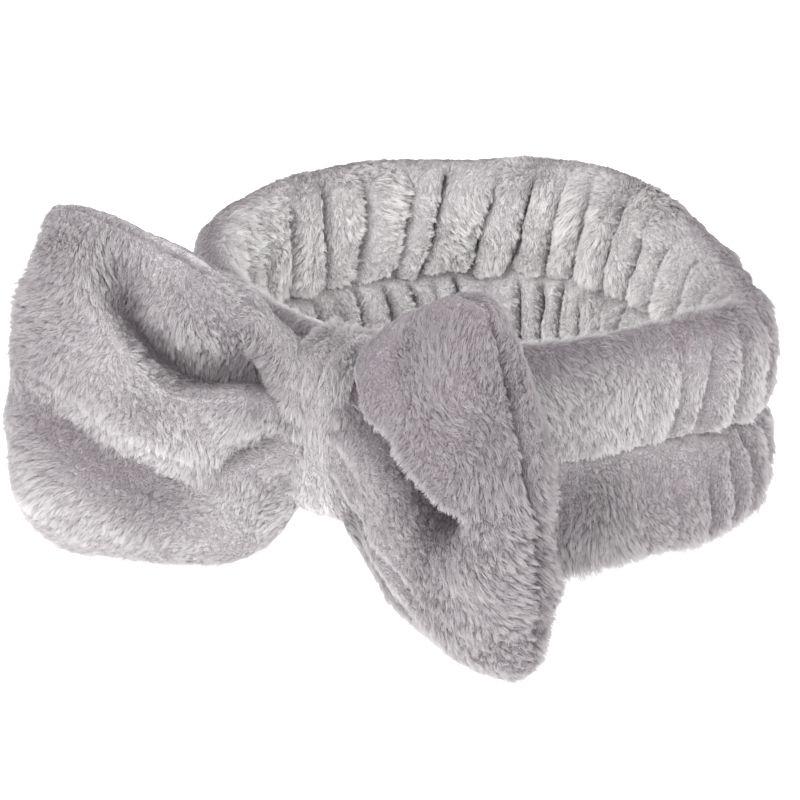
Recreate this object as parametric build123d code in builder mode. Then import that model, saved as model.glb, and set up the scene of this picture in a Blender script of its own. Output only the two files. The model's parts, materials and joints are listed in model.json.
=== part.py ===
"""A plush spa headband: a two-tier fleece band with a gathered elastic rear, and a bow held by a fleece wrap.

Frame: +Z up. The band stands on its lower edge at z = 0, its oval is centred on the Z axis, and the bow is
at the front, towards -Y. Millimetres.
"""

import math
import os

from build123d import *

# Band, measured to the middle of its wall
BAND_HALF_WIDTH = 85.5
BAND_HALF_DEPTH = 77.0
SIDE_ARC_RADIUS = 70.0
BAND_HEIGHT = 82.0
WALL = 17.0
FLEECE = 3.0
TIER_CORNER = 7.0
TIER_OVERLAP = 0.3
SPLIT_ANGLE = 22.0  # below the X axis, on the side arcs, where the gathered rear starts

# Band pinched under the wrap
PINCH_LOW = 34.0
PINCH_HIGH = 80.0
PINCH_WALL = 13.0
PINCH_CORNER = 5.0
PINCH_ANGLE = 8.6
FULL_ANGLE = 18.0

# Wrap and waist of the bow
KNOT_WIDTH = 24.0
KNOT_CORNER = 9.0
KNOT_CLEARANCE = 1.5
EDGE_ROUND = 1.2
WAIST_THICKNESS = 20.0
WAIST_CORNER = 6.0
GAP = 0.5

# Wings of the bow, from the hinge line outwards
STATIONS = (0.0, 22.0, 46.0, 66.0, 75.0)
HALF_HEIGHTS = (21.0, 39.0, 53.0, 57.0, 46.0)
HALF_THICKNESSES = (9.5, 17.5, 17.0, 11.0, 5.0)
ROOT_FILL = 8.0  # the root is solid gathers up to here
SWING = {"left": 14.0, "right": 20.0}  # how far each wing points forwards of the X axis
RISE = 4.0  # how much higher each wing's end stands than the knot

# Elastics, threads and fill
ELASTIC_WIDTH = 20.0
ELASTIC_THICKNESS = 1.2
THREAD_RADIUS = 0.5
TACK_PITCH = 5.0
TACKS_PER_TIER = 5
TACK_ANGLE = SPLIT_ANGLE - 3.0
CLOSING_STITCHES = 8
CLOSING_PITCH = 5.0
CLOSING_LENGTH = 5.0
WINDING_WIDTH = 4.0
WINDING_THICKNESS = 0.4
WADDING_GAP = 0.4

# Worked out
FRONT_ARC_RADIUS = (
    (BAND_HALF_WIDTH - SIDE_ARC_RADIUS) ** 2 + BAND_HALF_DEPTH**2 - SIDE_ARC_RADIUS**2
) / (2 * (BAND_HALF_DEPTH - SIDE_ARC_RADIUS))
SIDE_CENTRE = BAND_HALF_WIDTH - SIDE_ARC_RADIUS
FRONT_CENTRE = FRONT_ARC_RADIUS - BAND_HALF_DEPTH
JOIN_ANGLE = math.degrees(math.atan2(FRONT_CENTRE, SIDE_CENTRE))
FRONT_ARC_ANGLE = 90 - JOIN_ANGLE
CREASE = WALL / 2 - TIER_CORNER + math.sqrt(TIER_CORNER**2 - (TIER_CORNER - TIER_OVERLAP) ** 2)
SEAM_OFFSET = CREASE + THREAD_RADIUS / 2
CORNER_45 = TIER_CORNER * (1 - math.sqrt(0.5))
KNOT_Z = (PINCH_HIGH + PINCH_LOW) / 2
KNOT_HEIGHT = PINCH_HIGH - PINCH_LOW
BAND_FRONT = -BAND_HALF_DEPTH - PINCH_WALL / 2
WAIST_Y = BAND_FRONT - GAP - WAIST_THICKNESS / 2
KNUCKLE_RADIUS = HALF_THICKNESSES[0]
HINGE_X = KNOT_WIDTH / 2 + GAP + KNUCKLE_RADIUS


class Section:
    """The sizes of the band's cross-section at one place: full, or pinched under the wrap."""

    def __init__(self, wall, low, high, corner):
        self.wall, self.low, self.high, self.corner = wall, low, high, corner
        self.middle = (low + high) / 2
        self.tier = (high - low) / 2 + TIER_OVERLAP

    def tier_middle(self, tier):
        """The height of the middle of a tier, 0 the lower and 1 the upper."""
        return self.high - self.tier / 2 if tier else self.low + self.tier / 2


FULL = Section(WALL, 0.0, BAND_HEIGHT, TIER_CORNER)
PINCHED = Section(PINCH_WALL, PINCH_LOW, PINCH_HIGH, PINCH_CORNER)


# Profiles of the band, drawn in a plane across it with local X outwards and local Y up


def cover_profile(section):
    """The fleece tube's outline: two rounded tiers that run together at the centre seam."""
    for tier in (0, 1):
        with Locations((0, section.tier_middle(tier))):
            RectangleRounded(section.wall, section.tier, section.corner)


def channel_profile(section, tier, gap=0.0):
    """The hollow inside one tier, or what fills it with a gap all round."""
    inset = FLEECE + gap
    with Locations((0, section.tier_middle(tier))):
        RectangleRounded(section.wall - 2 * inset, section.tier - 2 * inset, section.corner - inset)


def seam_profile(section, side):
    """The centre seam's thread in the crease, side 1 outside and -1 inside."""
    with Locations((side * SEAM_OFFSET, section.middle)):
        Circle(THREAD_RADIUS)


# Paths and planes of the band


def across(point, tangent):
    """A plane across a path that runs anticlockwise, local X outwards and local Y up."""
    tangent = Vector(*tangent)
    return Plane(origin=point, x_dir=tangent.cross(Vector(0, 0, 1)), z_dir=-tangent)


def front_point(angle):
    """A point on the front arc, at an angle to the right of straight ahead."""
    a = math.radians(angle)
    return (FRONT_ARC_RADIUS * math.sin(a), FRONT_CENTRE - FRONT_ARC_RADIUS * math.cos(a), 0)


def front_plane(angle):
    """The plane across the band at an angle along the front arc."""
    a = math.radians(angle)
    return across(front_point(angle), (math.cos(a), math.sin(a), 0))


def side_point(side, angle):
    """A point on a side arc, side 1 on the right, at an angle above the X axis."""
    a = math.radians(angle)
    return (side * (SIDE_CENTRE + SIDE_ARC_RADIUS * math.cos(a)), SIDE_ARC_RADIUS * math.sin(a), 0)


def front_half_path(side):
    """The band's line from the taper's end, round one front corner, to the gathered rear."""
    with BuildLine() as path:
        join = front_point(side * FRONT_ARC_ANGLE)
        middle = front_point(side * (FULL_ANGLE + FRONT_ARC_ANGLE) / 2)
        ThreePointArc(front_point(side * FULL_ANGLE), middle, join)
        ThreePointArc(join, side_point(side, -(JOIN_ANGLE + SPLIT_ANGLE) / 2), side_point(side, -SPLIT_ANGLE))
    return path.line


def rear_path():
    """The band's line round the gathered rear, from right to left."""
    x, y, _ = front_point(FRONT_ARC_ANGLE)
    middle = (JOIN_ANGLE - SPLIT_ANGLE) / 2
    with BuildLine() as path:
        ThreePointArc(side_point(1, -SPLIT_ANGLE), side_point(1, middle), (x, -y, 0))
        ThreePointArc((x, -y, 0), (0, BAND_HALF_DEPTH, 0), (-x, -y, 0))
        ThreePointArc((-x, -y, 0), side_point(-1, middle), side_point(-1, -SPLIT_ANGLE))
    return path.line


def run_round_front(profile, mode=Mode.ADD):
    """Carries profile(section) round the front: full at the sides, tapered to the pinch under the wrap."""
    for side in (-1, 1):
        with BuildSketch(front_plane(side * FULL_ANGLE)) as full:
            profile(FULL)
        with BuildSketch(front_plane(side * PINCH_ANGLE)) as pinched:
            profile(PINCHED)
        sweep(full.sketch, path=front_half_path(side), mode=mode)
        loft([full.sketch, pinched.sketch], ruled=True, mode=mode)
    with BuildSketch(front_plane(-PINCH_ANGLE)) as pinched:
        profile(PINCHED)
    turn = Axis((0, FRONT_CENTRE, 0), (0, 0, 1))
    revolve(pinched.sketch, axis=turn, revolution_arc=2 * PINCH_ANGLE, mode=mode)


def run_round_rear(profile, mode=Mode.ADD):
    """Carries profile(section) round the gathered rear."""
    path = rear_path()
    with BuildSketch(across(path @ 0, tuple(path % 0))) as full:
        profile(FULL)
    sweep(full.sketch, path=path, mode=mode)


def band_parts(name, run):
    """The fleece tube of the front or the rear, with its centre seam and its closing seam."""
    with BuildPart() as cover:
        run(cover_profile)
        for tier in (0, 1):
            run(lambda section, tier=tier: channel_profile(section, tier), mode=Mode.SUBTRACT)
    with BuildPart() as centre_seam:
        for side in (-1, 1):
            run(lambda section, side=side: seam_profile(section, side))

    def closing_profile(section):
        """The tube's closing seam, on the rounded lower inner edge."""
        with Locations((CORNER_45 - section.wall / 2, section.low + CORNER_45)):
            Circle(THREAD_RADIUS)

    with BuildPart() as closing_seam:
        run(closing_profile)
    return {f"{name}_cover": cover, f"{name}_centre_seam": centre_seam, f"{name}_closing_seam": closing_seam}


def wadding(tier):
    """The soft fill of one tier of the smooth front."""
    with BuildPart() as fill:
        run_round_front(lambda section: channel_profile(section, tier, WADDING_GAP))
    return fill


def elastic(tier):
    """The flat elastic in one tier of the rear, which gathers the fleece."""
    with BuildPart() as strip:
        path = rear_path()
        with BuildSketch(across(path @ 0, tuple(path % 0))):
            with Locations((0, FULL.tier_middle(tier))):
                Rectangle(ELASTIC_THICKNESS, ELASTIC_WIDTH)
        sweep(path=path)
    return strip


def elastic_tacks(side):
    """The stitches that pin both elastics' ends through the fleece, on one side of the head."""
    a = math.radians(TACK_ANGLE)
    outwards = Vector(side * math.cos(a), -math.sin(a), 0)
    middle = Vector(*side_point(side, -TACK_ANGLE))
    with BuildPart() as tacks:
        for tier in (0, 1):
            height = Vector(0, 0, FULL.tier_middle(tier))
            row = Plane(origin=middle + height - outwards * (WALL / 2), x_dir=(0, 0, 1), z_dir=outwards)
            with BuildSketch(row):
                with GridLocations(TACK_PITCH, 0, TACKS_PER_TIER, 1):
                    Circle(THREAD_RADIUS)
            extrude(amount=WALL)
    return tacks


# The bow's knot


def knot_wrap():
    """The fleece strip that goes round the bow's waist and the pinched band."""
    front = WAIST_Y - WAIST_THICKNESS / 2 - GAP
    back = -BAND_HALF_DEPTH + PINCH_WALL / 2 + KNOT_CLEARANCE
    height = KNOT_HEIGHT + 2 * KNOT_CLEARANCE
    with BuildPart() as wrap:
        with BuildSketch(Plane.YZ.offset(-KNOT_WIDTH / 2)):
            with Locations(((front + back) / 2, KNOT_Z)):
                RectangleRounded(back - front + 2 * FLEECE, height + 2 * FLEECE, KNOT_CORNER)
                RectangleRounded(back - front, height, KNOT_CORNER - FLEECE, mode=Mode.SUBTRACT)
        extrude(amount=KNOT_WIDTH)
        ends = wrap.faces().filter_by(Axis.X)
        fillet(ends.edges(), EDGE_ROUND)
    return wrap, back + FLEECE


def knot_closing_stitches(back):
    """The hand stitches across the wrap's closing, on its face inside the band."""
    with BuildPart() as stitches:
        with BuildSketch(Plane.YZ.offset(-CLOSING_LENGTH / 2)):
            with Locations((back, KNOT_Z)):
                with GridLocations(0, CLOSING_PITCH, 1, CLOSING_STITCHES):
                    Circle(THREAD_RADIUS)
        extrude(amount=CLOSING_LENGTH)
    return stitches


def bow_waist():
    """The gathered middle of the bow, inside the wrap."""
    with BuildPart() as waist:
        with BuildSketch(Plane.YZ.offset(-KNOT_WIDTH / 2)):
            with Locations((WAIST_Y, KNOT_Z)):
                RectangleRounded(WAIST_THICKNESS, KNOT_HEIGHT, WAIST_CORNER)
        extrude(amount=KNOT_WIDTH)
    return waist


def waist_thread():
    """The gathering thread wound round the waist."""
    around = 2 * WINDING_THICKNESS
    with BuildPart() as winding:
        with BuildSketch(Plane.YZ.offset(-WINDING_WIDTH / 2)):
            with Locations((WAIST_Y, KNOT_Z)):
                RectangleRounded(WAIST_THICKNESS + around, KNOT_HEIGHT + around, WAIST_CORNER + WINDING_THICKNESS)
                RectangleRounded(WAIST_THICKNESS, KNOT_HEIGHT, WAIST_CORNER, mode=Mode.SUBTRACT)
        extrude(amount=WINDING_WIDTH)
    return winding


# The bow's wings


def wing():
    """One wing along local +X with the hinge line on local Z: its layers at -Y and +Y, and its edge seam."""

    def along(distance, height=0.0):
        """A point on the wing's middle plane, a distance out from the hinge line."""
        return Vector(distance, 0, RISE * distance / STATIONS[-1] + height)

    def pillow(inset, stations):
        """The wing's closed form, smaller by an inset all round."""
        sections = []
        for station, half_height, half_thickness in stations:
            with BuildSketch(Plane(origin=along(station), x_dir=(0, 1, 0), z_dir=(1, 0, 0))) as oval:
                Ellipse(half_thickness - inset, half_height - inset)
            sections.append(oval.sketch)
        loft(sections, mode=Mode.SUBTRACT if inset else Mode.ADD)

    shape = list(zip(STATIONS, HALF_HEIGHTS, HALF_THICKNESSES))
    hollow = [(ROOT_FILL, *shape[0][1:]), *shape[1:-1], (STATIONS[-1] - FLEECE, *shape[-1][1:])]
    with BuildPart() as shell:
        pillow(0.0, shape)
        Cylinder(KNUCKLE_RADIUS, 2 * HALF_HEIGHTS[0])
        pillow(FLEECE, hollow)
    with BuildPart() as minus:
        add(shell.part)
        split(bisect_by=Plane.XZ, keep=Keep.TOP)
    with BuildPart() as plus:
        add(shell.part)
        split(bisect_by=Plane.XZ, keep=Keep.BOTTOM)

    with BuildPart() as seam:
        for up in (-1, 1):
            with BuildLine() as edge:
                Spline(*[along(s, up * h) for s, h in zip(STATIONS[1:], HALF_HEIGHTS[1:])])
            with BuildSketch(Plane(origin=edge.line @ 0, z_dir=edge.line % 0)) as cord:
                Circle(THREAD_RADIUS)
            sweep(cord.sketch, path=edge.line)
        end = along(STATIONS[-1] + THREAD_RADIUS)
        with Locations(end):
            Cylinder(THREAD_RADIUS, 2 * HALF_HEIGHTS[-1] - 4 * THREAD_RADIUS)
    return minus, plus, seam


def wing_parts(name, side, layers):
    """One wing's pieces in their places, side 1 on the right and -1 on the left."""
    turn = -SWING[name] if side == 1 else 180 + SWING[name]
    place = Location((side * HINGE_X, WAIST_Y, KNOT_Z), (0, 0, turn))
    titles = ("front", "back", "seam") if side == 1 else ("back", "front", "seam")
    pieces = {}
    for title, layer in zip(titles, layers):
        with BuildPart() as piece:
            with Locations(place):
                add(layer.part)
        pieces[f"{name}_wing_{title}"] = piece
    return pieces


def main():
    os.makedirs("parts", exist_ok=True)
    wrap, wrap_back = knot_wrap()
    layers = wing()
    pieces = {
        **band_parts("front", run_round_front),
        **band_parts("rear", run_round_rear),
        "front_wadding_lower": wadding(0),
        "front_wadding_upper": wadding(1),
        "elastic_lower": elastic(0),
        "elastic_upper": elastic(1),
        "elastic_tacks_left": elastic_tacks(-1),
        "elastic_tacks_right": elastic_tacks(1),
        "knot_wrap": wrap,
        "knot_closing_stitches": knot_closing_stitches(wrap_back),
        "bow_waist": bow_waist(),
        "waist_thread": waist_thread(),
        **wing_parts("left", -1, layers),
        **wing_parts("right", 1, layers),
    }
    for name, piece in pieces.items():
        piece.part.label = name
        export_step(piece.part, f"parts/{name}.step")


main()
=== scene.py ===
"""Looks of the plush spa headband: a two-tier fleece band, its wrap and its bow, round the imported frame.

Shapes are worked out in millimetres in the frame's axes and turned into metres when a mesh is made.
"""

import json
import math

import bmesh
import bpy
import numpy as np
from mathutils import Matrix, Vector, noise


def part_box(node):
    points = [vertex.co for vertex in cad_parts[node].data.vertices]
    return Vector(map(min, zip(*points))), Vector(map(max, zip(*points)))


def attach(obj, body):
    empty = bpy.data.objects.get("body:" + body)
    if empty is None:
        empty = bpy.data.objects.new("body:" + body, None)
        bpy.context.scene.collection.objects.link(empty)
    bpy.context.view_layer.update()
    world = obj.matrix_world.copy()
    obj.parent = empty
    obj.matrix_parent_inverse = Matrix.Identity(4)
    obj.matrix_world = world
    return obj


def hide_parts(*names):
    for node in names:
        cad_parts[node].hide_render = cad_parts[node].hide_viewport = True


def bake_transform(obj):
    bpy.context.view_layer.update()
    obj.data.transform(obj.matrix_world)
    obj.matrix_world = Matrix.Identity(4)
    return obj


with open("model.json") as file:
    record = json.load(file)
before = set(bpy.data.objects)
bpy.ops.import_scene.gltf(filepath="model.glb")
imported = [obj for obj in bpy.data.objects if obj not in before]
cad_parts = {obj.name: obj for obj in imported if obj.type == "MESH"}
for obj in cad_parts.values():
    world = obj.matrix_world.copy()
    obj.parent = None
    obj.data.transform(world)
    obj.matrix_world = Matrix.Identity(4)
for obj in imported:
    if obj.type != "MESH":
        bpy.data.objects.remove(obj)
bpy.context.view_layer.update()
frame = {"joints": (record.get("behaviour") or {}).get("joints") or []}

MM = 0.001
SEED = 7
JOINTS = {joint["name"]: joint for joint in frame["joints"]}


# Small helpers


def smooth(x, low, high):
    """0 before low, 1 after high, and an S-curve between."""
    t = np.clip((np.asarray(x, float) - low) / (high - low), 0, 1)
    return t * t * (3 - 2 * t)


def hill(x, centre, width):
    """1 at centre, falling off over width on both sides."""
    return np.exp(-(((x - centre) / width) ** 2))


def degrees_apart(a, b):
    """Signed difference of two angles in degrees, from -180 to 180."""
    return (np.asarray(a) - b + 180) % 360 - 180


def unit(v):
    return v / np.maximum(np.linalg.norm(v, axis=-1, keepdims=True), 1e-9)


def noise_at(points, size, seed=0):
    """Smooth noise from -1 to 1 at each point, with features of the given size; size may differ by axis."""
    q = np.reshape(points, (-1, 3)) / size + np.array([seed * 17.3, seed * 5.1, seed * 9.7])
    values = np.array([noise.noise(p) for p in q.tolist()])
    return values.reshape(np.shape(points)[:-1])


def corners(node):
    """A CAD node's lowest and highest corners, in millimetres."""
    low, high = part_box(node)[:2]
    return np.array(low) / MM, np.array(high) / MM


def full_turn(count):
    """Angles round a full turn, evenly spaced."""
    return np.linspace(0, 2 * math.pi, count, endpoint=False)


def squared_off(wave, power):
    """A sine or cosine raised to a power with its sign kept, which makes a soft box of a circle."""
    return np.sign(wave) * np.abs(wave) ** power


def resample(points, count):
    """Spreads count points evenly along a polyline."""
    step = np.linalg.norm(np.diff(points, axis=0), axis=1)
    run = np.concatenate([[0], np.cumsum(step)])
    at = np.linspace(0, run[-1], count)
    return np.stack([np.interp(at, run, points[:, k]) for k in range(points.shape[1])], -1)


def make_mesh(name, points, faces, nap=None, pile=None, paler=None):
    """A smooth-shaded object from points in millimetres.

    nap is the lie of the pile, pile its relative length, and paler how much lighter or darker it is painted,
    as painted light and shade.
    """
    mesh = bpy.data.meshes.new(name)
    mesh.from_pydata((np.reshape(points, (-1, 3)) * MM).tolist(), [], faces)
    for kind, values in (("nap", nap), ("pile", pile), ("paler", paler)):
        if values is not None:
            form, field = ("FLOAT_VECTOR", "vector") if kind == "nap" else ("FLOAT", "value")
            attribute = mesh.attributes.new(kind, form, "POINT")
            attribute.data.foreach_set(field, np.ravel(values).astype("f4"))
    work = bmesh.new()
    work.from_mesh(mesh)
    bmesh.ops.delete(work, geom=[v for v in work.verts if not v.link_faces], context="VERTS")
    bmesh.ops.recalc_face_normals(work, faces=work.faces)
    work.to_mesh(mesh)
    work.free()
    mesh.shade_smooth()
    obj = bpy.data.objects.new(name, mesh)
    bpy.context.scene.collection.objects.link(obj)
    return obj


def grid_faces(rows, columns, wrap_columns=False, start=0):
    """Quads of a grid of points stored row by row."""
    last = columns if wrap_columns else columns - 1
    faces = []
    for i in range(rows - 1):
        for j in range(last):
            k = (j + 1) % columns
            one, two = start + i * columns, start + (i + 1) * columns
            faces.append((one + j, one + k, two + k, two + j))
    return faces


def tube_faces(rows, columns, first_forwards=False):
    """Quads of a closed tube of points stored ring by ring, and its two flat ends."""
    first, last = tuple(range(columns)), tuple(range((rows - 1) * columns, rows * columns))
    ends = [first, last[::-1]] if first_forwards else [first[::-1], last]
    return grid_faces(rows, columns, wrap_columns=True) + ends


def grid_normals(grid, wrap_rows=False, wrap_columns=False):
    """Unit normals of a grid of points, from the differences along its rows and columns."""
    def slope(axis, wrap):
        if wrap:
            return np.roll(grid, -1, axis) - np.roll(grid, 1, axis)
        return np.gradient(grid, axis=axis)
    return unit(np.cross(slope(0, wrap_rows), slope(1, wrap_columns)))


def tube(points, radius, sides=8):
    """Points and faces of a closed round tube along a polyline, with capped ends."""
    points = np.asarray(points, float)
    tangent = unit(np.gradient(points, axis=0))
    aside = unit(np.cross(tangent, [0.31, 0.17, 0.93]))
    above = np.cross(tangent, aside)
    turn = full_turn(sides)
    radius = np.broadcast_to(radius, (len(points),))[:, None, None]
    ring = np.cos(turn)[None, :, None] * aside[:, None] + np.sin(turn)[None, :, None] * above[:, None]
    return (points[:, None] + radius * ring).reshape(-1, 3), tube_faces(len(points), sides)


def joined(parts):
    """Joins (points, faces) pairs into one pair."""
    verts, faces, start = [], [], 0
    for part_verts, part_faces in parts:
        verts.append(part_verts)
        faces += [tuple(start + k for k in face) for face in part_faces]
        start += len(part_verts)
    return np.concatenate(verts), faces


def stitch_row(path, pitch, length, radius, lift):
    """A row of short stitches along a path; lift is the way each one arches, point by point."""
    path, lift = np.asarray(path, float), np.asarray(lift, float)
    run = np.concatenate([[0], np.cumsum(np.linalg.norm(np.diff(path, axis=0), axis=1))])
    parts = []
    for at in np.arange(pitch / 2, run[-1] - length, pitch):
        t = np.linspace(0, 1, 6)
        spots = at + t * length
        line = np.stack([np.interp(spots, run, path[:, k]) for k in range(3)], -1)
        up = np.stack([np.interp(spots, run, lift[:, k]) for k in range(3)], -1)
        line = line + up * (radius * 1.2 * np.sin(math.pi * t))[:, None]
        parts.append(tube(line, radius * (0.6 + 0.4 * np.sin(math.pi * t))))
    return joined(parts)


# The band: a closed section of two puffy tiers, carried round an oval

NAP = 1.2  # how far the pile stands out from the cloth
FULL_WALL = 17.0
WALL = FULL_WALL - 2 * NAP
COVER_LOW, COVER_HIGH = corners("rear_cover")
BAND_LOW = COVER_LOW[2] + NAP
BAND_HIGH = COVER_HIGH[2] - NAP
TIER = (BAND_HIGH - BAND_LOW) / 2
HALF_WIDTH = COVER_HIGH[0] - FULL_WALL / 2
HALF_DEPTH = COVER_HIGH[1] - FULL_WALL / 2
KNOT_LOW, KNOT_HIGH = (place[2] for place in corners("bow_waist"))
SPLIT = -17.0  # where the gathered rear starts, in degrees round from +X; 180 - SPLIT on the left
AROUND = 640  # rows of points round the whole band
SECTION = 200  # points round its section
SEAM_DEPTH = 0.12  # half thickness left at the centre seam, as a share of the wall's half thickness
FRONT = 270.0


def oval(angle):
    """The radius of the middle of the band's wall, slightly irregular away from the knot."""
    a = np.radians(angle)
    plain = 1 / np.sqrt((np.cos(a) / HALF_WIDTH) ** 2 + (np.sin(a) / HALF_DEPTH) ** 2)
    uneven = 1.6 * np.sin(3 * a + 0.2) + 2.2 * np.cos(4 * a - 0.65)
    uneven = uneven * smooth(np.abs(degrees_apart(angle, FRONT)), 25, 75)
    return plain + uneven - 2.6 * hill(degrees_apart(angle, 0), 0, 30)


def pinched(angle, near=8, far=24):
    """1 under the wrap and 0 away from it."""
    return 1 - smooth(np.abs(degrees_apart(angle, FRONT)), near, far)


def gathered(angle, start=84, stop=108):
    """1 in the gathered rear and 0 round the smooth front."""
    return 1 - smooth(np.abs(degrees_apart(angle, 90)), start, stop)


def band_levels(angle):
    """The heights of the lower edge, the centre seam and the rim."""
    tight = pinched(angle)
    slump = 11.0 * hill(degrees_apart(angle, 27), 0, 26) - 5.0 * hill(degrees_apart(angle, 84), 0, 26)
    slump = slump - 2.6 * hill(degrees_apart(angle, 148), 0, 28)
    lifted = 6.4 * hill(degrees_apart(angle, 322), 0, 40)
    low = BAND_LOW + lifted + (KNOT_LOW - BAND_LOW - lifted) * pinched(angle, 8, 34)
    high = BAND_HIGH - slump + (KNOT_HIGH - BAND_HIGH) * tight
    a = np.radians(angle)
    scallop = 1.3 * np.sin(11 * a) * np.sin(7 * a + 1) + 0.8 * np.sin(23 * a + 2)
    centre = (low + high) / 2 - 0.25 * slump + scallop * gathered(angle)
    return low, centre, high


def band_section():
    """The section's outline: x is -1 inside and 1 outside, y 0 to 1 in the lower tier and 1 to 2 above."""
    t = np.linspace(-math.pi / 2, math.pi / 2, 400)
    bulge, rise = squared_off(np.cos(t), 2 / 2.15), squared_off(np.sin(t), 2 / 2.5)
    y = np.concatenate([(rise + 1) / 2, (rise + 3) / 2])
    x = np.concatenate([bulge, bulge])
    x = np.where((y > 0.5) & (y < 1.5), np.maximum(x, SEAM_DEPTH), x)
    outline = np.concatenate([np.stack([x, y], -1), np.stack([-x, y], -1)[::-1]])
    outline = resample(outline * [WALL / 2, TIER], SECTION + 1)[:-1]
    return outline / [WALL / 2, TIER]


PAST_LEFT, PAST_RIGHT = 7.5, 8.0  # degrees between the grooves past each end of the elastic


class Pleats:
    """The gathers of one face of one tier: narrow grooves with a puffy lobe between each two.

    beyond is how many grooves run on past each end of the elastic.
    """

    def __init__(self, seed, lean, depth, puff, gaps, width=1.9, beyond=0):
        spacing = np.random.default_rng(seed)
        at, grooves = SPLIT, []
        while at < 180 - SPLIT:
            depth_here = 1.0 if at == SPLIT else spacing.uniform(0.65 - 0.15 * beyond, 1.0)
            grooves.append((at, depth_here, spacing.uniform(0.74, 1.0)))
            at += spacing.uniform(*gaps)
        right = [(SPLIT - PAST_RIGHT * past, 1.0, 1.0) for past in range(beyond, 0, -1)]
        left = [(180.0 - SPLIT + PAST_LEFT * past, 1.0, 1.0) for past in range(beyond + 1)]
        self.lines, self.depths, self.tops = np.array([*right, *grooves, *left]).T
        self.seed, self.lean, self.depth, self.puff, self.width = seed, lean, depth, puff, width

    def profile(self, angle, up):
        """How far the face stands out, and how near a groove is, at a height 0 to 1 up the tier."""
        wander = noise_at(np.stack([angle / 9, up * 2.2, 0 * angle], -1), 1.0, self.seed)
        moved = degrees_apart(angle, 90) + 90 - self.lean(angle) * (up - 0.5) + 1.6 * wander
        lines = self.lines
        k = np.clip(np.searchsorted(lines, moved) - 1, 0, len(lines) - 2)
        gap = lines[k + 1] - lines[k]
        t = np.clip((moved - lines[k]) / gap, 0, 1)
        nearer = np.where(t < 0.5, k, k + 1)
        past_top = smooth(up - self.tops[nearer], -0.12, 0.1)
        strength = self.depths[nearer] * (1 - 0.8 * past_top)
        away = np.minimum(t, 1 - t) * gap * math.radians(1) * HALF_WIDTH
        groove = strength * hill(away, 0, self.width)
        lobe = (4 * t * (1 - t)) ** 0.35 * (0.7 + 0.05 * gap)
        return self.puff * lobe - self.depth * groove, groove


def rear_lean(angle):
    """How far a groove's top leans back from its foot inside the upper tier, in degrees."""
    return -9 + 13 * smooth(angle, 112, 185)


OUTER = {"gaps": (5.6, 12.5), "width": 3.0, "beyond": 2}
PLEATS = {
    ("in", 1): Pleats(SEED + 1, rear_lean, depth=8.0, puff=2.4, gaps=(8.2, 12.8)),
    ("in", 0): Pleats(SEED + 2, lambda a: 4.0 + 0 * a, depth=6.5, puff=2.2, gaps=(5.6, 9.0)),
    ("out", 1): Pleats(SEED + 3, lambda a: 2.0 + 0 * a, depth=3.4, puff=2.0, **OUTER),
    ("out", 0): Pleats(SEED + 4, lambda a: -3.0 + 0 * a, depth=3.2, puff=2.6, **OUTER),
}


def band_folds(angle, x, y):
    """How far the gathers move the wall outwards, and how near a groove each point is."""
    up = np.where(y < 1, y, y - 1)
    rim = 1 - 0.55 * np.maximum(smooth(y, 1.84, 1.98), 1 - smooth(y, 0.02, 0.14))
    moved, groove = 0, 0
    for (side, tier), pleats in PLEATS.items():
        sign = 1 if side == "out" else -1
        reach = gathered(angle, 90, 124) if side == "out" else gathered(angle, 78, 108)
        share = smooth(sign * x, 0.15, 0.75) * (y >= 1 if tier else y < 1) * rim * reach
        height, near = pleats.profile(angle, up)
        moved = moved + sign * height * share
        groove = groove + near * share
    return moved, groove


def band_grid(angles):
    """The band's plain surface and its gathers, a row per angle and a column per point of the section."""
    section = band_section()
    x, y = section[None, :, 0], section[None, :, 1]
    angle = np.asarray(angles, float)[:, None]
    low, centre, high = band_levels(angle)
    z = np.where(y < 1, low + (centre - low) * y, centre + (high - centre) * (y - 1))
    out = oval(angle) + WALL / 2 * (1 - 0.22 * pinched(angle)) * x
    moved, groove = band_folds(angle + 0 * y, x + 0 * angle, y + 0 * angle)
    return angle, x, y, z, out, moved, groove


def around(angle, out, z):
    """Points at an angle, a distance out from the Z axis and a height."""
    a = np.radians(angle)
    return np.stack([out * np.cos(a), out * np.sin(a), z + 0 * a], -1)


def band_fleece(name, start, stop):
    """One closed piece of the band's fleece tube between two angles."""
    rows = int(AROUND * (stop - start) / 360) + 1
    angle, x, y, z, out, moved, groove = band_grid(np.linspace(start, stop, rows))
    grid = around(angle, out + moved, z)
    normal = grid_normals(grid, wrap_columns=True)
    grid = grid + normal * nap_relief(grid)[..., None]
    grid[..., 2] = np.maximum(grid[..., 2], BAND_LOW)
    nap, pile, paler = band_nap(angle, x, y, groove)
    return make_mesh(name, grid, tube_faces(rows, SECTION, first_forwards=True), nap, pile, paler)


def band_nap(angle, x, y, groove):
    """The lie of the band's pile, its relative length and how much paler or darker it is painted, as painted
    light and shade.
    """
    inner = smooth(-x, -0.3, 0.6) + 0 * angle
    nap = (0.6 * inner - 1)[..., None] * np.array([0.0, 0.0, 1.0])
    pile = (1 - 0.85 * groove**0.45) * (1 - 0.9 * pinched(angle, 8, 13)) * (1 - 0.7 * hill(y, 1, 0.07))
    pile = pile * (1 + 0.2 * inner + 0.3 * hill(y, 2, 0.12))
    # Painted light: the inside of the band paler, less so near its right end, and the outer face paler on its
    # upper tier and darker on its lower tier away from the gathered rear, standing in for how the nap catches
    # the light.
    shade = inner * (1.15 - 0.9 * hill(degrees_apart(angle, 8), 0, 30))
    outer = (1 - inner) * (1 - 0.75 * gathered(angle))
    shade = shade + outer * (0.3 * hill(y, 1.45, 0.4) - 0.35 * smooth(-y, -1, -0.8))
    # Painted shade: darker in the pleat grooves and along the top of the rim.
    paler = shade * (1 - groove) - groove - 0.8 * hill(y, 2, 0.2) * (1 - 0.4 * inner)
    return nap, pile, paler


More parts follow.
